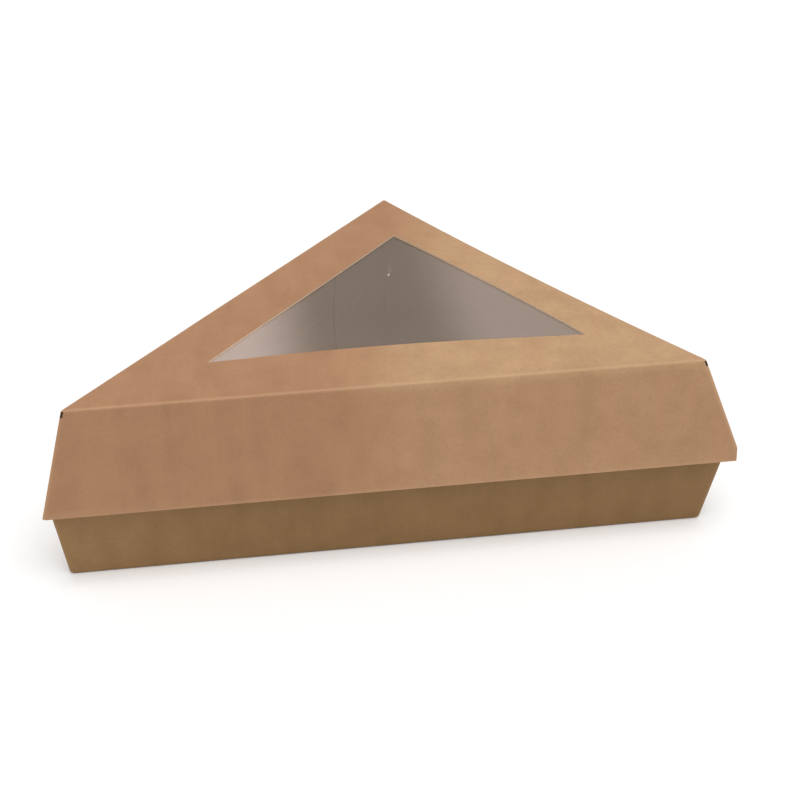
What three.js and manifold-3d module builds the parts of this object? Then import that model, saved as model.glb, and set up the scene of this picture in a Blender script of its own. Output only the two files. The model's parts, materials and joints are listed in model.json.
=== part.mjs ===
import * as THREE from 'three';
import { mergeVertices } from 'three/addons/utils/BufferGeometryUtils.js';
import Module from 'manifold-3d';

// Hinged slice box folded from kraft board, with a clear film window in its lid.
// Millimetres, +Z up. The long front wall faces -Y and the pointed corner is at the back.
// The three walls and the three corners are always listed in this order.
const FRONT = 0;
const RIGHT = 1;
const HINGE = 2;

// The lid's top panel, measured along its folds.
const frontWidth = 191;
const backDepth = 120.6;
const backShift = 12.3;

// Heights above the table. The lid's front wall reaches down to the level of the hinge crease.
const boxHeight = 58.8;
const hingeHeight = 24.3;
const trayWallTop = 30.2;

// Beside the hinge the tray's front and right walls end at the crease's level for a short step,
// and then climb to their full height over a run of their own.
const trayWallStep = [1.8, 1.7];
const trayWallRun = [20, 2.4];

// The lid's right wall ends this far above the front wall's lower edge at the front right corner.
const cornerNotch = 4.6;

// Board, film and the folds.
const board = 0.5;
const filmThickness = 0.2;
const foldRadius = 0.5;
const lidCornerRadius = 0.6;
const trayCornerRadius = 1.1;

// How far each lid wall leans outward as it comes down, in degrees from upright.
const lidLean = [9.15, 12.7, 5.9];

// How far the tray's floor reaches past the lid's top folds at each wall.
const floorSpread = [2.1, 1.6, 2.55];

// The right top fold sags inward along its length.
const rightFoldSag = 1.6;

// Window: width of the board left at each side, and how far the film reaches under it.
const windowMargin = [19.5, 15.8, 18.8];
const windowRightBulge = 0.7;
const windowCornerRadius = 0.4;
const filmOverlap = 7;
const filmCornerRadius = 1;

// Glue flaps, measured from the top fold's corner, and the relief holes where three folds meet.
const flapLength = 28.6;
const flapCornerCut = 0.8;
const flapClearance = 0.3;
const reliefRadius = 0.6;

// Clearances.
const hingeGap = 0.3;
const nestClearance = 0.3;

// A cut stops this far short of a face that it would otherwise share, and a flap sinks this far into its wall.
const trim = 0.05;

// Segments of a rounded corner, of a sagging fold and of a relief hole.
const cornerSteps = 3;
const sagSteps = 7;
const holeSides = 12;

const wasm = await Module();
wasm.setup();

const tangent = (degrees) => Math.tan(THREE.MathUtils.degToRad(degrees));
const cosine = (degrees) => Math.cos(THREE.MathUtils.degToRad(degrees));

// Plan of the lid's top folds: front left, front right, back.
const foldCorners = [
  new THREE.Vector2(-frontWidth / 2, 0),
  new THREE.Vector2(frontWidth / 2, 0),
  new THREE.Vector2(backShift, backDepth),
];
const wallAlong = foldCorners.map((corner, i) => foldCorners[(i + 1) % 3].clone().sub(corner).normalize());
const wallOut = wallAlong.map((along) => new THREE.Vector2(along.y, -along.x));

// Heights that follow from the driving ones.
const trayHingeTop = hingeHeight - hingeGap / 2;
const lidHingeFoot = hingeHeight + hingeGap / 2;
const frontRim = hingeHeight;
const sideRim = frontRim + cornerNotch;
const topUnderside = boxHeight - board;

// Distance of the lid's outer face from its top fold at a height, for each wall.
function lidReach(z) {
  return lidLean.map((degrees) => (boxHeight - z) * tangent(degrees));
}

// The tray fits inside the lid's front and right walls, and shares its hinge wall's crease.
const lidInnerAtTrayTop = lidReach(trayWallTop).map((reach, i) => reach - board / cosine(lidLean[i]));
const trayFlare = [
  (lidInnerAtTrayTop[FRONT] - nestClearance - floorSpread[FRONT]) / trayWallTop,
  (lidInnerAtTrayTop[RIGHT] - nestClearance - floorSpread[RIGHT]) / trayWallTop,
  (lidReach(hingeHeight)[HINGE] - floorSpread[HINGE]) / hingeHeight,
];

// Distance of the tray's outer face from the lid's top fold at a height, for each wall.
function trayReach(z) {
  return floorSpread.map((spread, i) => spread + trayFlare[i] * z);
}

// Thickness of a leaning wall measured level.
const lidWallLevel = lidLean.map((degrees) => board / cosine(degrees));
const trayWallLevel = trayFlare.map((flare) => board * Math.hypot(1, flare));

// The corner where two walls meet, with each wall moved outward by its own reach.
function cornerAt(index, reach) {
  const before = wallOut[(index + 2) % 3];
  const after = wallOut[index];
  const reachBefore = reach[(index + 2) % 3];
  const reachAfter = reach[index];
  const cross = before.x * after.y - before.y * after.x;
  const shiftX = (reachBefore * after.y - reachAfter * before.y) / cross;
  const shiftY = (reachAfter * before.x - reachBefore * after.x) / cross;
  return foldCorners[index].clone().add(new THREE.Vector2(shiftX, shiftY));
}

// A level outline of the box with rounded corners, whose right side may sag inward.
function ring(z, reach, radius, sag = 0) {
  const corners = [0, 1, 2].map((i) => cornerAt(i, reach));
  const outline = [];
  const rounded = corners.map((corner, i) => {
    const halfAngle = (Math.PI - wallAlong[(i + 2) % 3].angleTo(wallAlong[i])) / 2;
    const reachBack = radius / Math.tan(halfAngle);
    const start = corner.clone().addScaledVector(wallAlong[(i + 2) % 3], -reachBack);
    const end = corner.clone().addScaledVector(wallAlong[i], reachBack);
    return new THREE.QuadraticBezierCurve(start, corner, end);
  });
  rounded.forEach((curve, i) => {
    outline.push(...curve.getPoints(cornerSteps));
    if (i !== RIGHT) return;
    const from = curve.v2;
    const to = rounded[(i + 1) % 3].v0;
    for (let step = 1; step < sagSteps; step += 1) {
      const share = step / sagSteps;
      const inward = -4 * sag * share * (1 - share);
      outline.push(from.clone().lerp(to, share).addScaledVector(wallOut[RIGHT], inward));
    }
  });
  return outline.map((point) => new THREE.Vector3(point.x, point.y, z));
}

// A closed solid through level outlines, listed from the lowest to the highest.
function loft(rings) {
  const count = rings[0].length;
  const vertices = rings.flat().flatMap((point) => [point.x, point.y, point.z]);
  const faces = [];
  for (let level = 0; level < rings.length - 1; level += 1) {
    for (let i = 0; i < count; i += 1) {
      const low = level * count + i;
      const lowNext = level * count + ((i + 1) % count);
      faces.push(low, lowNext, lowNext + count, low, lowNext + count, low + count);
    }
  }
  const topStart = (rings.length - 1) * count;
  const flat = (points) => points.map((point) => new THREE.Vector2(point.x, point.y));
  THREE.ShapeUtils.triangulateShape(flat(rings[0]), []).forEach(([a, b, c]) => faces.push(a, c, b));
  THREE.ShapeUtils.triangulateShape(flat(rings.at(-1)), []).forEach(([a, b, c]) => {
    faces.push(topStart + a, topStart + b, topStart + c);
  });
  return toSolid(vertices, faces);
}

function toSolid(vertices, faces) {
  const mesh = new wasm.Mesh({
    numProp: 3,
    vertProperties: new Float32Array(vertices),
    triVerts: new Uint32Array(faces),
  });
  return new wasm.Manifold(mesh);
}

function geometryToSolid(geometry) {
  geometry.deleteAttribute('normal');
  geometry.deleteAttribute('uv');
  const merged = mergeVertices(geometry);
  return toSolid(merged.attributes.position.array, merged.index.array);
}

function toMesh(name, solid, material) {
  const result = solid.getMesh();
  const geometry = new THREE.BufferGeometry();
  geometry.setAttribute('position', new THREE.BufferAttribute(result.vertProperties, 3));
  geometry.setIndex(new THREE.BufferAttribute(result.triVerts, 1));
  geometry.computeVertexNormals();
  const mesh = new THREE.Mesh(geometry, material);
  mesh.name = name;
  return mesh;
}

// Rounded fold between a level panel and its walls: outlines that step in as they near the panel.
const foldAngles = [0, 30, 60, 90];
function foldStep(degrees) {
  const angle = THREE.MathUtils.degToRad(degrees);
  return { inset: foldRadius * (1 - Math.cos(angle)), climb: foldRadius * Math.sin(angle) };
}

// A glue flap on the inside of a wall, folded in from the neighbouring wall at one of its corners.
// Each stop is a height and how far the flap's upright free edge is cut back there.
function glueFlap(wall, atFarEnd, reachAt, level, stops) {
  const first = atFarEnd ? (wall + 1) % 3 : wall;
  const neighbour = atFarEnd ? (wall + 1) % 3 : (wall + 2) % 3;
  const along = wallAlong[wall].clone().multiplyScalar(atFarEnd ? -1 : 1);
  const cornerAngle = Math.PI - wallAlong[(first + 2) % 3].angleTo(wallAlong[first]);
  const rings = stops.map(([z, cutBack]) => {
    const corner = cornerAt(first, reachAt(z));
    const rootAt = (inset) => {
      const distance = inset / Math.tan(cornerAngle) + (0.5 * level[neighbour]) / Math.sin(cornerAngle);
      return corner.clone().addScaledVector(along, distance).addScaledVector(wallOut[wall], -inset);
    };
    const freeEdgeAt = (inset) => {
      const point = foldCorners[first].clone().addScaledVector(along, flapLength - cutBack);
      return point.addScaledVector(wallOut[wall], reachAt(z)[wall] - inset);
    };
    const outer = level[wall] - trim;
    const inner = level[wall] * 2;
    const points = [rootAt(outer), freeEdgeAt(outer), freeEdgeAt(inner), rootAt(inner)];
    const ordered = atFarEnd ? points.reverse() : points;
    return ordered.map((point) => new THREE.Vector3(point.x, point.y, z));
  });
  return loft(rings);
}

// The corner of a flap is cut off next to the crease.
const flapStops = (low, high) => [[low, 0], [high - flapCornerCut, 0], [high, flapCornerCut]];
const flapStopsCutBelow = (low, high) => [[low, flapCornerCut], [low + flapCornerCut, 0], [high, 0]];

// A small round hole through the lid's corner fold, where the board is relieved.
function reliefHole(index, z) {
  const corner = cornerAt(index, lidReach(z));
  const inward = wallAlong[index].clone().sub(wallAlong[(index + 2) % 3]).normalize();
  const depth = lidCornerRadius * 10;
  const geometry = new THREE.CylinderGeometry(reliefRadius, reliefRadius, depth, holeSides);
  geometry.rotateZ(Math.PI / 2);
  geometry.rotateZ(inward.angle());
  geometry.translate(corner.x, corner.y, z);
  return geometryToSolid(geometry);
}

// A large block above or below a plane that passes through the hinge line and climbs away from it.
function slopedBlock(z, rise, run, isAbove) {
  const size = frontWidth * 4;
  const geometry = new THREE.BoxGeometry(size, size, size);
  geometry.translate(0, 0, isAbove ? size / 2 : -size / 2);
  geometry.rotateX(Math.atan2(rise, run));
  geometry.rotateZ(wallAlong[HINGE].angle());
  const line = foldCorners[HINGE].clone().addScaledVector(wallOut[HINGE], lidReach(z)[HINGE]);
  geometry.translate(line.x, line.y, z);
  return geometryToSolid(geometry);
}

// What lies above the tray's front or right wall where it starts beside the hinge.
function aboveWallStart(wall) {
  const climb = trayWallTop - trayHingeTop;
  const step = (trayWallStep[wall] * climb) / trayWallRun[wall];
  const slope = slopedBlock(trayHingeTop - step, climb, trayWallRun[wall], true);
  return slope.intersect(slopedBlock(trayHingeTop, 0, trayWallRun[wall], true));
}

// The half of space on the back corner's side of the hinge wall's middle, and a little past it.
function halfWithBackCorner(past) {
  const size = frontWidth * 4;
  const geometry = new THREE.BoxGeometry(size, size, size);
  geometry.translate(past - size / 2, 0, 0);
  geometry.rotateZ(wallAlong[HINGE].angle());
  const middle = foldCorners[FRONT].clone().add(foldCorners[HINGE]).multiplyScalar(0.5);
  geometry.translate(middle.x, middle.y, 0);
  return geometryToSolid(geometry);
}

const less = (reach, amount) => reach.map((value, i) => value - amount[i]);
const all = (value) => [value, value, value];

function trayShell() {
  const outerRings = foldAngles.toReversed().map((degrees) => {
    const { inset, climb } = foldStep(degrees);
    const z = foldRadius - climb;
    return ring(z, less(trayReach(z), all(inset)), trayCornerRadius);
  });
  outerRings.push(ring(trayWallTop, trayReach(trayWallTop), trayCornerRadius));
  const innerRadius = trayCornerRadius - board;
  const innerRings = [board, trayWallTop + 1].map((z) => ring(z, less(trayReach(z), trayWallLevel), innerRadius));
  const shell = loft(outerRings).subtract(loft(innerRings));

  const foot = board + flapClearance;
  const hingeStops = flapStops(foot, trayHingeTop - flapClearance);
  const cornerStops = flapStops(foot, trayWallTop - flapClearance);
  const flaps = [
    glueFlap(HINGE, false, trayReach, trayWallLevel, hingeStops),
    glueFlap(HINGE, true, trayReach, trayWallLevel, hingeStops),
    glueFlap(FRONT, true, trayReach, trayWallLevel, cornerStops),
  ];
  const folded = flaps.reduce((solid, flap) => solid.add(flap), shell);
  const frontCut = aboveWallStart(FRONT).subtract(halfWithBackCorner(0));
  const rightCut = aboveWallStart(RIGHT).intersect(halfWithBackCorner(trim));
  return folded.subtract(frontCut).subtract(rightCut);
}

// The sag of the right fold dies out toward the rim of the lid.
function sagAt(z) {
  return (rightFoldSag * (z - sideRim)) / (boxHeight - sideRim);
}

function lidShell() {
  const outerRings = [frontRim, sideRim].map((z) => ring(z, lidReach(z), lidCornerRadius));
  foldAngles.forEach((degrees) => {
    const { inset, climb } = foldStep(degrees);
    const z = boxHeight - foldRadius + climb;
    outerRings.push(ring(z, less(lidReach(z), all(inset)), lidCornerRadius, sagAt(z)));
  });
  const innerRadius = lidCornerRadius - board;
  const innerReach = (z) => less(lidReach(z), lidWallLevel);
  const inner = loft([
    ring(frontRim - 1, innerReach(frontRim - 1), innerRadius),
    ring(sideRim, innerReach(sideRim), innerRadius),
    ring(topUnderside, innerReach(topUnderside), innerRadius, sagAt(topUnderside)),
  ]);
  const shell = loft(outerRings).subtract(inner);

  // The hinge wall ends at the crease, and the right wall's edge climbs from there to the notch.
  const past = lidCornerRadius * 8;
  const behindFront = (z) => [innerReach(z)[FRONT] - trim, lidReach(z)[RIGHT] + past, lidReach(z)[HINGE] + past];
  const behind = loft([frontRim - 1, sideRim + 1].map((z) => ring(z, behindFront(z), trim)));
  const hingeLine = foldCorners[HINGE].clone().addScaledVector(wallOut[HINGE], lidReach(lidHingeFoot)[HINGE]);
  const notchCorner = cornerAt(RIGHT, lidReach(sideRim));
  const notchRun = hingeLine.sub(notchCorner).dot(wallOut[HINGE]);
  const sideCut = behind.intersect(slopedBlock(lidHingeFoot, sideRim - lidHingeFoot, notchRun, false));

  // At the notch the front wall's end is cut upright.
  const rim = new THREE.Box3().setFromPoints(ring(sideRim, lidReach(sideRim), lidCornerRadius));
  const notchGeometry = new THREE.BoxGeometry(past, past * 4, cornerNotch + 1);
  notchGeometry.translate(rim.max.x - trim + past / 2, rim.min.y, sideRim - (cornerNotch + 1) / 2);
  const notchCut = geometryToSolid(notchGeometry);

  const windowReach = windowMargin.map((margin) => -margin);
  const windowRings = [topUnderside - 1, boxHeight + 1].map((z) => {
    return ring(z, windowReach, windowCornerRadius, -windowRightBulge);
  });

  const flapTop = topUnderside - flapClearance;
  const hingeStops = flapStopsCutBelow(lidHingeFoot + flapClearance, flapTop);
  const cornerStops = flapStopsCutBelow(trayWallTop + nestClearance, flapTop);
  const flaps = [
    glueFlap(HINGE, false, lidReach, lidWallLevel, hingeStops),
    glueFlap(HINGE, true, lidReach, lidWallLevel, hingeStops),
    glueFlap(FRONT, true, lidReach, lidWallLevel, cornerStops),
  ];
  const folded = flaps.reduce((solid, flap) => solid.add(flap), shell);
  const holes = [0, 1, 2].map((i) => reliefHole(i, topUnderside - reliefRadius));
  return [sideCut, notchCut, loft(windowRings), ...holes].reduce((solid, cut) => solid.subtract(cut), folded);
}

// The film lies flat under the top panel and reaches past the window all round.
function windowFilm() {
  const reach = windowMargin.map((margin) => filmOverlap - margin);
  return loft([topUnderside - filmThickness, topUnderside].map((z) => ring(z, reach, filmCornerRadius)));
}

const kraftOutside = new THREE.MeshStandardMaterial({ color: '#a97e5d', roughness: 0.85, metalness: 0 });
const kraftTray = new THREE.MeshStandardMaterial({ color: '#8b6947', roughness: 0.85, metalness: 0 });
const clearFilm = new THREE.MeshStandardMaterial({
  color: '#d8dadb',
  roughness: 0.08,
  metalness: 0,
  transparent: true,
  opacity: 0.3,
});

const sliceBox = new THREE.Group();
sliceBox.add(toMesh('tray', trayShell(), kraftTray));
sliceBox.add(toMesh('lid', lidShell(), kraftOutside));
sliceBox.add(toMesh('window_film', windowFilm(), clearFilm));

// The origin is on the table, under the middle of the box.
const extent = new THREE.Box3().setFromObject(sliceBox);
const middle = extent.getCenter(new THREE.Vector3());
sliceBox.position.set(-middle.x, -middle.y, 0);

export default sliceBox;
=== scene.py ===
import json
from math import atan2, cos, pi, radians, sin, tan

import bmesh
import bpy
from mathutils import Matrix, Vector


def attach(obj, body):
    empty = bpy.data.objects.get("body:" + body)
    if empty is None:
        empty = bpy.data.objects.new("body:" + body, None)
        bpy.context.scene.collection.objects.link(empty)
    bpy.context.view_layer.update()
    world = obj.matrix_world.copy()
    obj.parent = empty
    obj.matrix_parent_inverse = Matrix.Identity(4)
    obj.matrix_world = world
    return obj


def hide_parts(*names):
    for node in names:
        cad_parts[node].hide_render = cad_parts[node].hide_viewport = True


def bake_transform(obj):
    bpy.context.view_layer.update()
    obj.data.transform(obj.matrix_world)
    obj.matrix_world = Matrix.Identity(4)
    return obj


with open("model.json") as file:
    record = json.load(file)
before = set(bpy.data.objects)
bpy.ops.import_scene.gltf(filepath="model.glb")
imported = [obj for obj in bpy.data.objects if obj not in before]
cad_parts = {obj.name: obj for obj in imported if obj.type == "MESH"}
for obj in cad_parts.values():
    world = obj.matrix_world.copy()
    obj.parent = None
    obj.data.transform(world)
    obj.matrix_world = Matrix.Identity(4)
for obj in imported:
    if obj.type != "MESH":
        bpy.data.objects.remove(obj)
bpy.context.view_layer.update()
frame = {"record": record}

mm = 0.001

# The box's walls and corners are listed front, right, hinge and front left, front right, back.
front, right, hinge = 0, 1, 2


# Blank, as folded

boxSizes = {
    "frontWidth": 191.0,
    "backDepth": 120.6,
    "backShift": 12.3,
    "height": 58.8,
    "creaseHeight": 24.3,
    "trayWallTop": 30.2,
    "trayWallStep": [1.8, 1.7],
    "trayWallRun": [20.0, 2.4],
    "cornerNotch": 4.6,
    "lean": [9.15, 12.7, 5.9],
    "floorSpread": [2.1, 1.6, 2.55],
    "board": 0.5,
    "nest": 0.3,
    "creaseGap": 0.3,
    "sag": 1.6,
    "window": [19.5, 15.8, 18.8],
    "windowBulge": 0.7,
    "filmOverlap": 7.0,
    "flapLength": 28.6,
}

foldCorners = [
    Vector((-boxSizes["frontWidth"] / 2, 0)),
    Vector((boxSizes["frontWidth"] / 2, 0)),
    Vector((boxSizes["backShift"], boxSizes["backDepth"])),
]
along = [(foldCorners[(i + 1) % 3] - foldCorners[i]).normalized() for i in range(3)]
outward = [Vector((a.y, -a.x)) for a in along]
halfAngle = [(pi - along[(i + 2) % 3].angle(along[i])) / 2 for i in range(3)]


def lidReach(z):
    return [(boxSizes["height"] - z) * tan(radians(lean)) for lean in boxSizes["lean"]]


creaseReach = lidReach(boxSizes["creaseHeight"])[hinge]
underLid = [
    reach - boxSizes["board"] / cos(radians(lean)) - boxSizes["nest"]
    for reach, lean in zip(lidReach(boxSizes["trayWallTop"]), boxSizes["lean"])
]
trayFlare = [
    (underLid[front] - boxSizes["floorSpread"][front]) / boxSizes["trayWallTop"],
    (underLid[right] - boxSizes["floorSpread"][right]) / boxSizes["trayWallTop"],
    (creaseReach - boxSizes["floorSpread"][hinge]) / boxSizes["creaseHeight"],
]


def trayReach(z):
    return [spread + flare * z for spread, flare in zip(boxSizes["floorSpread"], trayFlare)]


# The hinge joint lies just outside the middle of the crease, and ties the blank to the frame.
jointPlace = frame["record"]["behaviour"]["joints"][0]["pos_m"]
creaseOut = creaseReach + boxSizes["creaseGap"] / 2
creaseMiddle = (foldCorners[0] + foldCorners[2]) / 2 + outward[hinge] * creaseOut
shift = Vector((jointPlace[0] / mm - creaseMiddle.x, jointPlace[1] / mm - creaseMiddle.y))


def cornerAt(index, reach):
    before, after = outward[(index + 2) % 3], outward[index]
    cross = before.x * after.y - before.y * after.x
    reachBefore, reachAfter = reach[(index + 2) % 3], reach[index]
    moveX = (reachBefore * after.y - reachAfter * before.y) / cross
    moveY = (reachAfter * before.x - reachBefore * after.x) / cross
    return foldCorners[index] + Vector((moveX, moveY))


# A column is one place round the outline: on a side or on a corner's arc.
# Columns stand closer beside the corners, at these distances in mm.
sideSteps = {front: 56, right: 44, hinge: 44}
besideCorner = [0.5, 0.9, 1.3, 1.75, 2.0, 2.4, 3.0, 3.6, 4.2, 5.0, 7.0, 9.0]
arcSteps = 6


def sideShares(index):
    length = (foldCorners[(index + 1) % 3] - foldCorners[index]).length
    near = [distance / length for distance in besideCorner]
    evenStart = near[-1] * 1.2
    even = [step / sideSteps[index] for step in range(1, sideSteps[index])]
    even = [share for share in even if evenStart < share < 1 - evenStart]
    return near + even + [1 - share for share in reversed(near)]


def makeColumns():
    columns = []
    for index in range(3):
        columns += [("arc", index, step / arcSteps) for step in range(arcSteps + 1)]
        columns += [("side", index, share) for share in sideShares(index)]
    return columns


columns = makeColumns()


def planPoint(column, reach, radius, sag=0.0):
    kind, index, share = column
    corner = cornerAt(index, reach)
    back = radius / tan(halfAngle[index])
    if kind == "arc":
        start = corner - along[(index + 2) % 3] * back
        end = corner + along[index] * back
        return start * (1 - share) ** 2 + corner * 2 * share * (1 - share) + end * share ** 2
    nextIndex = (index + 1) % 3
    end = cornerAt(nextIndex, reach) - along[index] * radius / tan(halfAngle[nextIndex])
    point = (corner + along[index] * back).lerp(end, share)
    if index == right:
        point = point - outward[right] * 4 * sag * share * (1 - share)
    return point


def awayFromCrease(point):
    return creaseReach - (point - foldCorners[hinge]).dot(outward[hinge])


# A rim's height depends on its place and the place on the height, so both settle in a few rounds.
settleRounds = 4


# Top panel lifted a little by the board's own curl, most at the middle of the window's front edge.
curl = {"lift": 1.5, "reachBehind": 46.0, "left": -62.0, "width": 125.0, "roundness": 1.2,
        "wallStart": 52.0, "wallRun": 6.0}


def curlAt(x, y):
    edge = boxSizes["window"][front]
    share = min(max((x - curl["left"]) / curl["width"], 0.0), 1.0)
    across = sin(pi * share) ** curl["roundness"] if 0.0 < share < 1.0 else 0.0
    if y <= edge:
        rise = max(y, 0.0) / edge
    else:
        rise = max(1.0 - (y - edge) / curl["reachBehind"], 0.0) ** 2
    return curl["lift"] * across * rise


def place(x, y, z):
    topShare = max(min((z - curl["wallStart"]) / curl["wallRun"], 1.0), 0.0)
    lifted = z + curlAt(x, y) * topShare
    return Vector(((x + shift.x) * mm, (y + shift.y) * mm, lifted * mm))


def gridMesh(name, rows, closed=True, capFirst=False, isOpen=None):
    mesh = bpy.data.meshes.new(name)
    shape = bmesh.new()
    levels = [[shape.verts.new(place(*point)) for point in row] for row in rows]
    count = len(rows[0])
    for level, (low, high) in enumerate(zip(levels, levels[1:])):
        for i in range(count if closed else count - 1):
            j = (i + 1) % count
            if not (isOpen and isOpen(rows[level], rows[level + 1], i, j)):
                shape.faces.new((low[i], low[j], high[j], high[i]))
    if capFirst:
        shape.faces.new(list(reversed(levels[0])))
    shape.normal_update()
    shape.to_mesh(mesh)
    shape.free()
    return mesh


# This attribute says how much a fold pales a place, partly fold wear and partly painted highlight along the
# folds: 1 on a fold, 0 away from it.
def markWearAndHighlight(mesh, wearAndHighlightAt):
    layer = mesh.attributes.new("foldWearAndHighlight", "FLOAT", "POINT")
    for vertex in mesh.vertices:
        x, y, z = (value / mm for value in vertex.co)
        layer.data[vertex.index].value = wearAndHighlightAt(x - shift.x, y - shift.y, z)


# Places in a board piece's list of materials
# The fourth place holds the near-black painted shade.
outerFace, innerFace, cutFace, paintedShadeFace = 0, 1, 2, 3
sharpAngle = 34


def thicken(piece, thickness, innerOffset, rimOffset):
    solid = piece.modifiers.new("board", "SOLIDIFY")
    solid.thickness = thickness * mm
    solid.offset = -1
    solid.use_even_offset = True
    solid.material_offset = innerOffset
    solid.material_offset_rim = rimOffset
    depsgraph = bpy.context.evaluated_depsgraph_get()
    thick = bpy.data.meshes.new_from_object(piece.evaluated_get(depsgraph), depsgraph=depsgraph)
    piece.modifiers.clear()
    thin = piece.data
    piece.data = thick
    bpy.data.meshes.remove(thin)
    thick.name = piece.name


def addObject(name, data):
    made = bpy.data.objects.new(name, data)
    bpy.context.collection.objects.link(made)
    return made


def addPiece(name, mesh, body, materials, thickness, wearAndHighlightAt=None):
    if wearAndHighlightAt:
        markWearAndHighlight(mesh, wearAndHighlightAt)
    piece = addObject(name, mesh)
    for material in materials:
        mesh.materials.append(material)
    layers = (innerFace, cutFace) if len(materials) > cutFace else (outerFace, outerFace)
    thicken(piece, thickness, *layers)
    piece.data.shade_smooth()
    piece.data.set_sharp_from_angle(angle=radians(sharpAngle))
    if body:
        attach(piece, body)
    return piece


def joinMeshes(name, meshes):
    joined = bpy.data.meshes.new(name)
    shape = bmesh.new()
    for mesh in meshes:
        shape.from_mesh(mesh)
        bpy.data.meshes.remove(mesh)
    bmesh.ops.remove_doubles(shape, verts=shape.verts, dist=0.01 * mm)
    shape.to_mesh(joined)
    shape.free()
    return joined


# Materials

def linear(hexColour):
    channels = [int(hexColour[i:i + 2], 16) / 255 for i in (1, 3, 5)]
    return [c / 12.92 if c <= 0.04045 else ((c + 0.055) / 1.055) ** 2.4 for c in channels] + [1.0]


# Sockets of a Mix node for colours, which it finds by number
mixShare, mixLow, mixHigh, mixResult = 0, 6, 7, 2


def addNode(tree, kind, settings=None, inputs=None, links=None):
    node = tree.nodes.new(kind)
    for key, value in (settings or {}).items():
        setattr(node, key, value)
    for key, value in (inputs or {}).items():
        node.inputs[key].default_value = value
    for key, source in (links or {}).items():
        tree.links.new(source, node.inputs[key])
    return node


def newMaterial(name):
    material = bpy.data.materials.new(name)
    material.use_nodes = True
    tree = material.node_tree
    tree.nodes.clear()
    shader = addNode(tree, "ShaderNodeBsdfPrincipled")
    addNode(tree, "ShaderNodeOutputMaterial", links={"Surface": shader.outputs["BSDF"]})
    return material, tree, shader


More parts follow.
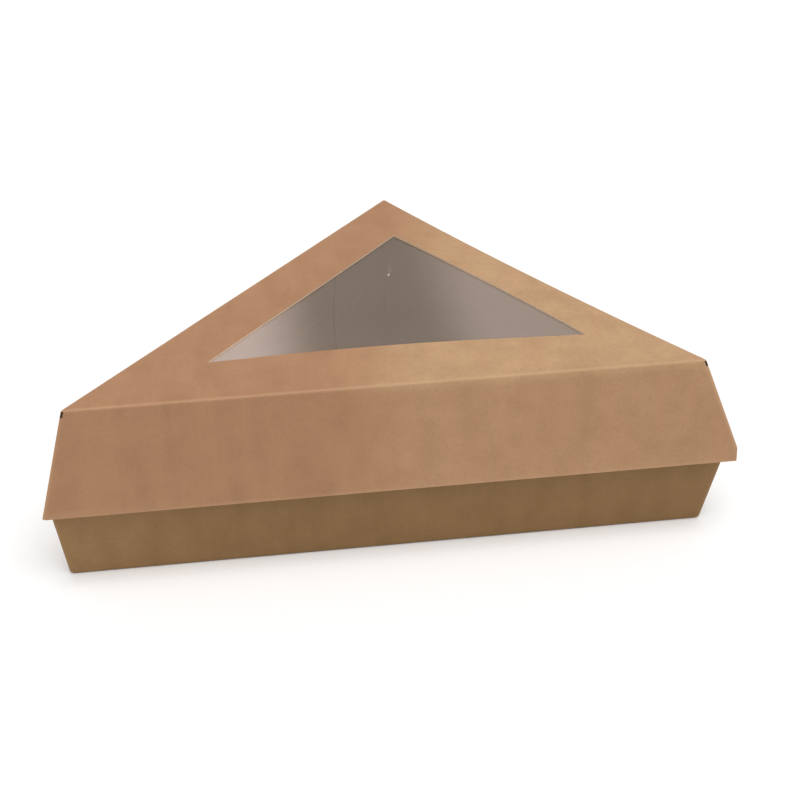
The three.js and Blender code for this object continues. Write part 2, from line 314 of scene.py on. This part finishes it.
# Uncoated kraft board, machine made: long fibres lie mostly one way, with cloudy patches between.
def kraftBoard(name, look):
    material, tree, shader = newMaterial(name)
    coords = addNode(tree, "ShaderNodeTexCoord").outputs["Object"]
    stretched = addNode(tree, "ShaderNodeMapping", inputs={"Scale": look["streakStretch"]},
                        links={"Vector": coords}).outputs["Vector"]
    cloud, streak, fibre = (
        addNode(tree, "ShaderNodeTexNoise", links={"Vector": vector},
                inputs={"Scale": 1 / (size * mm), "Detail": detail, "Roughness": roughness}).outputs["Fac"]
        for vector, size, detail, roughness in (
            (coords, look["cloudMm"], 5.0, 0.62),
            (stretched, look["streakMm"], 4.0, 0.6),
            (coords, look["fibreMm"], 3.0, 0.7)))
    speck = addNode(tree, "ShaderNodeTexVoronoi", settings={"feature": "F1"},
                    inputs={"Scale": 1 / (look["speckMm"] * mm), "Randomness": 1.0}, links={"Vector": coords})
    # warm tone to pale tone across the sheet, paler towards the paleSide; walls below paleFrom take only
    # wallShare of it. On the lid this is painted light: the top and the right end of the walls are painted
    # paler, where more light falls.
    spot = addNode(tree, "ShaderNodeSeparateXYZ", links={"Vector": coords})
    side = addNode(tree, "ShaderNodeMath", settings={"operation": "MULTIPLY_ADD"}, inputs={1: look["slant"]},
                   links={0: spot.outputs["Y"], 2: spot.outputs["X"]})
    across = addNode(tree, "ShaderNodeMapRange", settings={"interpolation_type": "SMOOTHSTEP"},
                     inputs={"From Min": look["warmSide"] * mm, "From Max": look["paleSide"] * mm},
                     links={"Value": side.outputs["Value"]})
    height = addNode(tree, "ShaderNodeMapRange", settings={"interpolation_type": "SMOOTHSTEP"},
                     inputs={"From Min": look["paleFrom"] * mm, "From Max": look["paleAbove"] * mm,
                             "To Min": look["wallShare"], "To Max": 1.0},
                     links={"Value": spot.outputs["Z"]})
    tone = addNode(tree, "ShaderNodeMath", settings={"operation": "MULTIPLY"},
                   links={0: across.outputs["Result"], 1: height.outputs["Result"]})
    base = addNode(tree, "ShaderNodeMix", settings={"data_type": "RGBA"},
                   inputs={mixLow: linear(look["warm"]), mixHigh: linear(look["pale"])},
                   links={mixShare: tone.outputs["Value"]})
    # the layers over it, each with its share and its tone
    layers = []
    for source, low, high, hexTone, amount in (
            (cloud, 0.35, 0.68, look["dark"], look["cloudAmount"]),
            (streak, 0.38, 0.66, look["light"], look["streakAmount"]),
            (fibre, 0.42, 0.72, look["dark"], look["fibreAmount"])):
        share = addNode(tree, "ShaderNodeMapRange", links={"Value": source},
                        inputs={"From Min": low, "From Max": high, "To Max": amount})
        layers.append((share.outputs["Result"], hexTone))
    dots = addNode(tree, "ShaderNodeMapRange", links={"Value": speck.outputs["Distance"]},
                   inputs={"From Min": 0.05, "From Max": 0.12, "To Min": look["speckAmount"], "To Max": 0.0})
    layers.append((dots.outputs["Result"], look["speck"]))
    # bending raises the fibres, so a fold is paler and yellower; the same pale is also a painted highlight
    # where light catches the folds
    wearAndHighlightNode = addNode(tree, "ShaderNodeAttribute", settings={"attribute_name": "foldWearAndHighlight"})
    wearAndHighlightMix = addNode(tree, "ShaderNodeMath", settings={"operation": "MULTIPLY"}, inputs={1: look["wearAndHighlightShare"]},
                        links={0: wearAndHighlightNode.outputs["Fac"]})
    layers.append((wearAndHighlightMix.outputs["Value"], look["wornHighlightTone"]))
    colour = base.outputs[mixResult]
    for share, hexTone in layers:
        layer = addNode(tree, "ShaderNodeMix", settings={"data_type": "RGBA"},
                        inputs={mixHigh: linear(hexTone)}, links={mixShare: share, mixLow: colour})
        colour = layer.outputs[mixResult]
    tree.links.new(colour, shader.inputs["Base Color"])
    # for plain numbers a Mix node takes its low and high value at sockets 2 and 3
    relief = addNode(tree, "ShaderNodeMix", settings={"data_type": "FLOAT"}, inputs={0: 0.4},
                     links={2: fibre, 3: streak})
    bump = addNode(tree, "ShaderNodeBump", inputs={"Strength": look["bump"], "Distance": 0.00012},
                   links={"Height": relief.outputs[0]})
    tree.links.new(bump.outputs["Normal"], shader.inputs["Normal"])
    rough = addNode(tree, "ShaderNodeMapRange", links={"Value": cloud},
                    inputs={"To Min": look["roughLow"], "To Max": look["roughHigh"]})
    tree.links.new(rough.outputs["Result"], shader.inputs["Roughness"])
    shader.inputs["IOR"].default_value = 1.45
    shader.inputs["Specular IOR Level"].default_value = look["gloss"]
    return material


# The lid's paler top and the paler right end of its walls are painted light.
lidLook = {
    "warm": "#a77c5b", "pale": "#bc9872", "dark": "#8a6548", "light": "#b88c69", "speck": "#7c5a3f",
    "warmSide": -6.0, "paleSide": 28.0, "slant": -0.3, "paleFrom": 55.0, "paleAbove": 58.6, "wallShare": 0.45,
    "cloudMm": 9.0, "cloudAmount": 0.28, "fibreMm": 0.9, "fibreAmount": 0.22,
    "speckMm": 3.2, "speckAmount": 0.08,
    "streakMm": 7.0, "streakStretch": (1.0, 0.3, 0.14), "streakAmount": 0.26,
    "bump": 0.25, "roughLow": 0.62, "roughHigh": 0.8, "gloss": 0.35, "wearAndHighlightShare": 0.5, "wornHighlightTone": "#cda883",
}
# The tray is the same board as the lid, painted darker all over: painted shade under the lid's overhang. Its
# pale tone is darker than its warm one, so it also turns darker towards the right.
trayShadedLook = dict(lidLook, warm="#94724a", pale="#876740", dark="#70532f", light="#967450", wallShare=1.0,
                warmSide=-90.0, paleSide=-10.0, wornHighlightTone="#a8845c")
insideLook = dict(lidLook, warm="#ad8c72", pale="#ad8c72", dark="#92745d", light="#b9997e", wallShare=1.0,
                  gloss=0.25)
kraftLid = kraftBoard("kraft board, machine finished", lidLook)
kraftTrayShaded = kraftBoard("kraft board, machine finished, painted shade on the tray", trayShadedLook)
kraftInside = kraftBoard("kraft board, grease proof inner side", insideLook)


# Die-cut edge of the board: paler raw fibre, a touch rougher than the faces.
def cutEdge(name, low, high):
    material, tree, shader = newMaterial(name)
    coords = addNode(tree, "ShaderNodeTexCoord").outputs["Object"]
    torn = addNode(tree, "ShaderNodeTexNoise", inputs={"Scale": 1 / (0.8 * mm), "Detail": 4.0},
                   links={"Vector": coords})
    mix = addNode(tree, "ShaderNodeMix", settings={"data_type": "RGBA"},
                  inputs={mixLow: linear(low), mixHigh: linear(high)}, links={mixShare: torn.outputs["Fac"]})
    tree.links.new(mix.outputs[mixResult], shader.inputs["Base Color"])
    bump = addNode(tree, "ShaderNodeBump", inputs={"Strength": 0.3, "Distance": 0.0001},
                   links={"Height": torn.outputs["Fac"]})
    tree.links.new(bump.outputs["Normal"], shader.inputs["Normal"])
    shader.inputs["Roughness"].default_value = 0.88
    return material


kraftEdge = cutEdge("kraft board, die cut edge", "#e6c9aa", "#f6e6d2")
# The tray's cut edge is darker: painted shade, as it stands inside the lid.
kraftEdgeTrayShaded = cutEdge("kraft board, die cut edge, painted shade inside the lid", "#b5957a", "#c2a589")


# Painted shade, near black with an amber tint, smooth and a little glossy: it stands for the shadow along
# glued flaps' free edges, in the corner slits and in the gap where the flaps meet.
def paintedShadeMaterial():
    material, tree, shader = newMaterial("painted shade, near black")
    shader.inputs["Base Color"].default_value = linear("#1e150e")
    shader.inputs["Roughness"].default_value = 0.4
    return material


paintedShadeDark = paintedShadeMaterial()


# Polyester film, drawn thin and glued flat: glossy, with a painted reflection, a faint brownish grey veil
# that grows paler and denser towards its left and right ends.
# Each end's painted reflection is given as where it starts, where it is full, and how much it then covers.
def polyesterFilm():
    material, tree, shader = newMaterial("polyester window film")
    look = {"clear": 0.24, "paintedReflections": [(-16.0, -44.0, 0.65), (12.0, 36.0, 0.41)], "wander": 0.04}
    coords = addNode(tree, "ShaderNodeTexCoord").outputs["Object"]
    spot = addNode(tree, "ShaderNodeSeparateXYZ", links={"Vector": coords})
    wander = addNode(tree, "ShaderNodeTexNoise", links={"Vector": coords},
                     inputs={"Scale": 18.0, "Detail": 2.0})
    # the painted reflection's share at each end
    leftReflection, rightReflection = (
        addNode(tree, "ShaderNodeMapRange", settings={"interpolation_type": "SMOOTHSTEP"},
                inputs={"From Min": start * mm, "From Max": full * mm, "To Max": cover - look["clear"]},
                links={"Value": spot.outputs["X"]}).outputs["Result"]
        for start, full, cover in look["paintedReflections"])
    both = addNode(tree, "ShaderNodeMath", settings={"operation": "ADD"}, links={0: leftReflection, 1: rightReflection})
    soft = addNode(tree, "ShaderNodeMapRange", inputs={"To Min": -look["wander"], "To Max": look["wander"]},
                   links={"Value": wander.outputs["Fac"]})
    uneven = addNode(tree, "ShaderNodeMath", settings={"operation": "ADD"},
                     links={0: both.outputs["Value"], 1: soft.outputs["Result"]})
    alpha = addNode(tree, "ShaderNodeMath", settings={"operation": "ADD"}, inputs={1: look["clear"]},
                    links={0: uneven.outputs["Value"]})
    tree.links.new(alpha.outputs["Value"], shader.inputs["Alpha"])
    tint = addNode(tree, "ShaderNodeMix", settings={"data_type": "RGBA"},
                   inputs={mixLow: linear("#a89481"), mixHigh: linear("#ead0c8")},
                   links={mixShare: both.outputs["Value"]})
    tree.links.new(tint.outputs[mixResult], shader.inputs["Base Color"])
    shader.inputs["Roughness"].default_value = 0.12
    shader.inputs["IOR"].default_value = 1.57
    shader.inputs["Coat Weight"].default_value = 0.3
    return material


filmMaterial = polyesterFilm()


# Lid

lidShape = {
    "foldRadius": 0.55, "foldSteps": 5, "cornerRadius": 0.6, "windowRadius": 0.3,
    "wallRows": 12, "wallEnd": [0.935, 0.95, 0.97, 0.985, 1.0],
    "topRows": 8, "topStart": [0.02, 0.05], "topEnd": [0.98, 1.0], "lipRows": [0.0, 0.33, 0.66, 1.0],
}


def sagAt(z):
    rim = boxSizes["creaseHeight"] + boxSizes["cornerNotch"]
    return boxSizes["sag"] * max(z - rim, 0.0) / (boxSizes["height"] - rim)


def lidPoint(column, z, inset=0.0):
    reach = [value - inset for value in lidReach(z)]
    point = planPoint(column, reach, lidShape["cornerRadius"], sagAt(z))
    return (point.x, point.y, z)


lidFoot = boxSizes["creaseHeight"] + boxSizes["creaseGap"] / 2
sideRim = boxSizes["creaseHeight"] + boxSizes["cornerNotch"]
notchRun = awayFromCrease(cornerAt(right, lidReach(sideRim)))


def rimHeight(column):
    z = lidFoot
    for _ in range(settleRounds):
        away = max(awayFromCrease(Vector(lidPoint(column, z)[:2])), 0.0)
        z = lidFoot + (sideRim - lidFoot) * away / notchRun
    return z


def lidRows():
    radius, top = lidShape["foldRadius"], boxSizes["height"]
    rims = [rimHeight(column) for column in columns]
    wallTop = top - radius
    rows = []
    for share in [step / lidShape["wallRows"] for step in range(lidShape["wallRows"])] + lidShape["wallEnd"]:
        rows.append([lidPoint(c, rim + (wallTop - rim) * share) for c, rim in zip(columns, rims)])
    for step in range(1, lidShape["foldSteps"] + 1):
        angle = pi / 2 * step / lidShape["foldSteps"]
        z = wallTop + radius * sin(angle)
        rows.append([lidPoint(c, z, radius * (1 - cos(angle))) for c in columns])
    foldEnd = rows[-1]
    window = [-margin for margin in boxSizes["window"]]
    edge = [planPoint(c, window, lidShape["windowRadius"], -boxSizes["windowBulge"]) for c in columns]
    even = [step / lidShape["topRows"] for step in range(1, lidShape["topRows"])]
    for share in lidShape["topStart"] + even + lidShape["topEnd"]:
        rows.append([
            (start[0] + (end.x - start[0]) * share, start[1] + (end.y - start[1]) * share, top)
            for start, end in zip(foldEnd, edge)
        ])
    return rows


# The front wall goes on below the side rim, and ends upright at the notch.
def lipRows():
    frontColumns = [c for c in columns if c[1] == front and c[0] == "side"]
    frontColumns = [("arc", front, 1.0)] + frontColumns + [("arc", right, 0.0)]
    notchX = max(planPoint(c, lidReach(sideRim), lidShape["cornerRadius"]).x for c in columns)
    rows = []
    for share in lidShape["lipRows"]:
        row = []
        for c in frontColumns + [None]:
            top = rimHeight(c or ("arc", right, 0.5))
            z = boxSizes["creaseHeight"] + (top - boxSizes["creaseHeight"]) * share
            x, y = lidPoint(c, top)[:2] if c else (notchX, cornerAt(front, lidReach(top)).y)
            y += cornerAt(front, lidReach(z)).y - cornerAt(front, lidReach(top)).y
            row.append((x, y, z))
        rows.append(row)
    return rows


# The die cuts a slit in each corner fold just below the top, so that the three folds can meet.
# It takes these shares of the corner's arc. Its edges are painted near black: painted shade for the shadow in
# the slit.
slitSpan = {"low": 56.8, "high": 58.35, "shadeBelow": 1.0, "topClear": 0.02}
slitShares = [(0.6, 0.9), (-0.1, 0.4), (-0.1, 0.8)]


def isSlit(lowRow, highRow, i, j):
    kind, corner, share = columns[i]
    first, last = slitShares[corner]
    inSpan = slitSpan["low"] <= (lowRow[i][2] + highRow[i][2]) / 2 <= slitSpan["high"]
    return inSpan and kind == "arc" and columns[j][0] == "arc" and first < share < last


# Fold wear and painted highlight reach this far from a fold, in mm, and by these shares.
foldWearAndHighlight = {"corner": 1.7, "top": 0.8, "rim": 1.3, "rimShare": 0.4, "sagShare": 0.1,
            "trayOff": 0.8, "trayShare": 0.6}


def lidWearAndHighlight(x, y, z):
    spot = Vector((x, y))
    reach = lidReach(min(z, boxSizes["height"]))
    sagPull = outward[right] * sagAt(z) * foldWearAndHighlight["sagShare"]
    corners = [(cornerAt(i, reach) - sagPull - spot).length for i in range(3)]
    nearCorner = max(1 - min(corners) / foldWearAndHighlight["corner"], 0.0)
    inward = min(-(spot - foldCorners[i]).dot(outward[i]) for i in range(3))
    drop = max(boxSizes["height"] - z, 0.0)
    nearTop = max(1 - (abs(inward) + drop) / foldWearAndHighlight["top"], 0.0)
    nearRim = foldWearAndHighlight["rimShare"] * max(1 - (z - boxSizes["creaseHeight"]) / foldWearAndHighlight["rim"], 0.0)
    return max(nearCorner, nearTop, nearRim)


# The slit's cut edges, and the cut edge for a mm below it, get the near-black painted shade.
def darkenSlits(piece):
    piece.data.materials.append(paintedShadeDark)
    low, high = slitSpan["low"] - slitSpan["shadeBelow"], slitSpan["high"] - slitSpan["topClear"]
    for face in piece.data.polygons:
        if face.material_index == cutFace and low < face.center.z / mm < high:
            face.material_index = paintedShadeFace


# Along the crease the board is bent, not cut, so it shows no pale edge there.
bentZone = {"inward": 1.2, "halfHeight": 0.5}


def hideCreaseEdge(piece):
    for face in piece.data.polygons:
        spot = face.center / mm
        away = awayFromCrease(Vector((spot.x, spot.y)) - shift)
        above = abs(spot.z - boxSizes["creaseHeight"])
        if face.material_index == cutFace and away < bentZone["inward"] and above < bentZone["halfHeight"]:
            face.material_index = innerFace


def makeLid():
    shell = gridMesh("lidShell", lidRows(), isOpen=isSlit)
    lip = gridMesh("lidLip", lipRows(), closed=False)
    mesh = joinMeshes("lid_board", [shell, lip])
    piece = addPiece("lid_board", mesh, "lid", [kraftLid, kraftInside, kraftEdge],
                     boxSizes["board"], lidWearAndHighlight)
    darkenSlits(piece)
    hideCreaseEdge(piece)
    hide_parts("lid")


makeLid()
print("lid board made")


# Tray

trayShape = {"foldRadius": 1.0, "foldSteps": 5, "cornerRadius": 1.1, "wallRows": 10, "wallStart": 0.015,
             "floorRows": [0.02, 0.25, 0.5, 0.75, 0.98]}


def trayPoint(column, z, inset=0.0):
    reach = [value - inset for value in trayReach(z)]
    point = planPoint(column, reach, trayShape["cornerRadius"])
    return (point.x, point.y, z)


def trayTop(column):
    low = boxSizes["creaseHeight"] - boxSizes["creaseGap"] / 2
    z = low
    for _ in range(settleRounds):
        spot = Vector(trayPoint(column, z)[:2])
        wall = right if spot.x > 0 else front
        start, run = boxSizes["trayWallStep"][wall], boxSizes["trayWallRun"][wall]
        climb = max(awayFromCrease(spot) - start, 0.0) / run
        z = low + (boxSizes["trayWallTop"] - low) * min(climb, 1.0)
    return z


def trayWearAndHighlight(x, y, z):
    corners = [(cornerAt(i, trayReach(z)) - Vector((x, y))).length for i in range(3)]
    return foldWearAndHighlight["trayShare"] * max(1 - abs(min(corners) - foldWearAndHighlight["trayOff"]) / foldWearAndHighlight["corner"], 0.0)


def makeTray():
    radius = trayShape["foldRadius"]
    rows = []
    for step in range(trayShape["foldSteps"] + 1):
        angle = pi / 2 * (1 - step / trayShape["foldSteps"])
        rows.append([trayPoint(c, radius * (1 - sin(angle)), radius * (1 - cos(angle))) for c in columns])
    floorEdge = rows[0]
    centreX, centreY = (sum(p[axis] for p in floorEdge) / len(floorEdge) for axis in (0, 1))
    floorRows = []
    for share in trayShape["floorRows"]:
        floorRows.append([(centreX + (p[0] - centreX) * share, centreY + (p[1] - centreY) * share, 0.0)
                          for p in floorEdge])
    tops = [trayTop(c) for c in columns]
    even = [step / trayShape["wallRows"] for step in range(1, trayShape["wallRows"] + 1)]
    for share in [trayShape["wallStart"]] + even:
        rows.append([trayPoint(c, radius + (top - radius) * share) for c, top in zip(columns, tops)])
    mesh = gridMesh("tray_board", floorRows + rows, capFirst=True)
    piece = addPiece("tray_board", mesh, "tray", [kraftTrayShaded, kraftInside, kraftEdgeTrayShaded],
                     boxSizes["board"], trayWearAndHighlight)
    hideCreaseEdge(piece)
    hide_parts("tray")


makeTray()
print("tray board made")


# Glue flaps inside the corners, with a chamfer beside the crease

flapShape = {"clear": 0.3, "chamfer": 0.8, "shadeLine": 0.45, "seat": 0.02, "pastCorner": 1.0, "steps": 6}


def flapMesh(name, wall, atFarEnd, reachAt, stops):
    first = (wall + 1) % 3 if atFarEnd else wall
    direction = along[wall] * (-1 if atFarEnd else 1)
    rows = []
    for z, cutBack in stops:
        corner = cornerAt(first, reachAt(z))
        inset = boxSizes["board"] + flapShape["seat"]
        root = corner + direction * (inset / tan(2 * halfAngle[first]) + flapShape["pastCorner"])
        root = root - outward[wall] * inset
        free = foldCorners[first] + direction * (boxSizes["flapLength"] - cutBack)
        free = free + outward[wall] * (reachAt(z)[wall] - inset)
        spots = [root.lerp(free, step / flapShape["steps"]) for step in range(flapShape["steps"] + 1)]
        spots.append(free + direction * flapShape["shadeLine"])
        row = [(p.x, p.y, z) for p in spots]
        rows.append(row[::-1] if atFarEnd else row)
    mesh = gridMesh(name, rows, closed=False)
    span = len(rows[0]) - 1
    # the strip past the free edge is painted near black: painted shadow along the flap's edge
    for face in mesh.polygons:
        if face.index % span == (0 if atFarEnd else span - 1):
            face.material_index = paintedShadeFace
    return mesh


def makeFlaps(name, body, reachAt, low, high, cornerLow, cornerHigh, chamferBelow):
    def stops(bottom, top):
        cut = flapShape["chamfer"]
        if chamferBelow:
            return [(bottom, cut), (bottom + cut, 0.0), (top, 0.0)]
        return [(bottom, 0.0), (top - cut, 0.0), (top, cut)]

    meshes = [
        flapMesh("flapBack", hinge, False, reachAt, stops(low, high)),
        flapMesh("flapLeft", hinge, True, reachAt, stops(low, high)),
        flapMesh("flapRight", front, True, reachAt, stops(cornerLow, cornerHigh)),
    ]
    piece = addPiece(name, joinMeshes(name, meshes), body,
                     [kraftInside, kraftInside, kraftEdge, paintedShadeDark], boxSizes["board"])
    # the upright cut edges get the near-black painted shade, for the shadow along the flaps' free edges
    for face in piece.data.polygons:
        if face.material_index == cutFace and abs(face.normal.z) < 0.5:
            face.material_index = paintedShadeFace


lidUnderside = boxSizes["height"] - boxSizes["board"]
lidFlapTop = lidUnderside - flapShape["clear"]
trayFlapTop = boxSizes["creaseHeight"] - boxSizes["creaseGap"] / 2 - flapShape["clear"]
trayFlapFoot = boxSizes["board"] + flapShape["clear"]
makeFlaps("lid_glue_flaps", "lid", lidReach, lidFoot + flapShape["clear"], lidFlapTop,
          boxSizes["trayWallTop"] + boxSizes["nest"], lidFlapTop, True)
makeFlaps("tray_glue_flaps", "tray", trayReach, trayFlapFoot, trayFlapTop,
          trayFlapFoot, boxSizes["trayWallTop"] - flapShape["clear"], False)


# A near-black bead at the end of the tray's back flap, just below the crease: painted shade for the dark gap
# where the flaps' ends meet. It shows through the window.
beadShape = {"radius": 0.75, "flat": 0.8, "below": 0.6, "inside": 0.62, "pastFlap": 0.3}


def makeBead():
    z = boxSizes["creaseHeight"] - beadShape["below"]
    reach = trayReach(z)[hinge] - boxSizes["board"] - beadShape["inside"]
    distance = boxSizes["flapLength"] + beadShape["pastFlap"]
    spot = foldCorners[hinge] + along[hinge] * distance + outward[hinge] * reach
    mesh = bpy.data.meshes.new("painted_shade_bead")
    shape = bmesh.new()
    bmesh.ops.create_uvsphere(shape, u_segments=20, v_segments=12, radius=beadShape["radius"] * mm)
    turn = Matrix.Rotation(atan2(outward[hinge].y, outward[hinge].x), 4, "Z")
    squeeze = Matrix.Diagonal((beadShape["flat"], 1.0, 1.0, 1.0))
    shape.transform(Matrix.Translation(place(spot.x, spot.y, z)) @ turn @ squeeze)
    shape.to_mesh(mesh)
    shape.free()
    mesh.materials.append(paintedShadeDark)
    mesh.shade_smooth()
    bead = addObject("painted_shade_bead", mesh)
    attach(bead, "tray")


makeBead()
print("glue flaps made")


# Crease between tray and lid: a thin strip of board, tied to neither body

creaseShape = {"half": 0.45, "rows": 8, "steps": 60, "inset": 0.06, "thickness": 0.3,
               "backClear": 0.5, "frontClear": 2.6}


def makeCrease():
    rows = []
    for step in range(creaseShape["rows"] + 1):
        z = boxSizes["creaseHeight"] + creaseShape["half"] * (2 * step / creaseShape["rows"] - 1)
        reach = [value - creaseShape["inset"] for value in lidReach(z)]
        start = cornerAt(hinge, reach) + along[hinge] * creaseShape["backClear"]
        end = cornerAt(front, reach) - along[hinge] * creaseShape["frontClear"]
        rows.append([(*start.lerp(end, share / creaseShape["steps"]), z)
                     for share in range(creaseShape["steps"] + 1)])
    piece = addPiece("hinge_crease", gridMesh("hinge_crease", rows, closed=False), None,
                     [kraftLid, kraftInside, kraftEdge], creaseShape["thickness"])
    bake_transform(piece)


makeCrease()
print("crease made")


# Window film under the top panel

# It sags by its slack away from the glued margin, in two crossing waves.
filmShape = {"thickness": 0.12, "apexCut": 0.985, "rows": 40, "columns": 64, "seat": 0.01,
             "slack": 0.1, "slackRun": 12.0, "waves": [(0.11, 0.05), (-0.02, 0.09)]}


def insideWindow(point):
    return min(-(point - foldCorners[i]).dot(outward[i]) - boxSizes["window"][i] for i in range(3))


def makeFilm():
    top = lidUnderside - filmShape["seat"]
    (longX, longY), (shortX, shortY) = filmShape["waves"]
    reach = [boxSizes["filmOverlap"] - margin for margin in boxSizes["window"]]
    left, rightEnd, back = [cornerAt(i, reach) for i in range(3)]
    rows = []
    for step in range(filmShape["rows"] + 1):
        share = step / filmShape["rows"] * filmShape["apexCut"]
        start, end = left.lerp(back, share), rightEnd.lerp(back, share)
        row = []
        for column in range(filmShape["columns"] + 1):
            point = start.lerp(end, column / filmShape["columns"])
            free = min(max(insideWindow(point) / filmShape["slackRun"], 0.0), 1.0)
            free = free * free * (3 - 2 * free)
            wave = sin(point.x * longX + point.y * longY) * sin(point.x * shortX + point.y * shortY)
            row.append((point.x, point.y, top - filmShape["slack"] * free * (1 + wave)))
        rows.append(row)
    piece = addPiece("window_sheet", gridMesh("window_sheet", rows, closed=False), "lid",
                     [filmMaterial], filmShape["thickness"])
    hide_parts("window_film")


makeFilm()
print("film made")


# Floor, light and camera

studio = {"floorHalf": 3.0, "ambient": 0.54,
          "keyStrength": 1.9, "keyElevation": 77, "keyAzimuth": 35, "keyAngle": 50}


def makeFloor():
    mesh = bpy.data.meshes.new("studio_floor")
    half = studio["floorHalf"]
    corners = [(-half, -half, 0), (half, -half, 0), (half, half, 0), (-half, half, 0)]
    mesh.from_pydata(corners, [], [(0, 1, 2, 3)])
    floor = addObject("studio_floor", mesh)
    material, _tree, shader = newMaterial("white paper sweep")
    shader.inputs["Base Color"].default_value = linear("#fbfbfb")
    shader.inputs["Roughness"].default_value = 0.9
    mesh.materials.append(material)


# The world lights the box by its ambient strength, and is plain white where it is seen or reflected.
def makeWorld():
    world = bpy.data.worlds.new("studio")
    bpy.context.scene.world = world
    world.use_nodes = True
    tree = world.node_tree
    tree.nodes.clear()
    path = addNode(tree, "ShaderNodeLightPath")
    seen = addNode(tree, "ShaderNodeMath", settings={"operation": "MAXIMUM"},
                   links={0: path.outputs["Is Camera Ray"], 1: path.outputs["Is Glossy Ray"]})
    seenThrough = addNode(tree, "ShaderNodeMath", settings={"operation": "MAXIMUM"},
                          links={0: seen.outputs["Value"], 1: path.outputs["Is Transmission Ray"]})
    ambient = addNode(tree, "ShaderNodeBackground",
                      inputs={"Color": linear("#ffffff"), "Strength": studio["ambient"]})
    white = addNode(tree, "ShaderNodeBackground", inputs={"Color": linear("#ffffff"), "Strength": 1.0})
    mix = addNode(tree, "ShaderNodeMixShader", links={0: seenThrough.outputs["Value"],
                                                      1: ambient.outputs["Background"],
                                                      2: white.outputs["Background"]})
    addNode(tree, "ShaderNodeOutputWorld", links={"Surface": mix.outputs["Shader"]})


def makeKey():
    light = bpy.data.lights.new("key", "SUN")
    light.energy = studio["keyStrength"]
    light.angle = radians(studio["keyAngle"])
    lamp = addObject("key", light)
    lamp.rotation_euler = (radians(90 - studio["keyElevation"]), 0, radians(studio["keyAzimuth"]))


cameraFit = {"place": (-40.3, -363.9, 300.4), "yaw": 6.76, "pitch": 34.0, "roll": 0.8, "focalPixels": 1501.0,
             "photoPixels": 800, "sensorWidth": 36.0}


def makeCamera():
    data = bpy.data.cameras.new("photo_view")
    data.sensor_width = cameraFit["sensorWidth"]
    data.lens = cameraFit["focalPixels"] / cameraFit["photoPixels"] * data.sensor_width
    camera = addObject("photo_view", data)
    turn = (Matrix.Rotation(radians(-cameraFit["yaw"]), 4, "Z")
            @ Matrix.Rotation(radians(90 - cameraFit["pitch"]), 4, "X")
            @ Matrix.Rotation(radians(-cameraFit["roll"]), 4, "Z"))
    x, y, z = cameraFit["place"]
    spot = Vector(((x + shift.x) * mm, (y + shift.y) * mm, z * mm))
    camera.matrix_world = Matrix.Translation(spot) @ turn
    bpy.context.scene.camera = camera


makeFloor()
makeWorld()
makeKey()
makeCamera()
bpy.context.scene.view_settings.view_transform = "Standard"
print("stage, light and camera made")
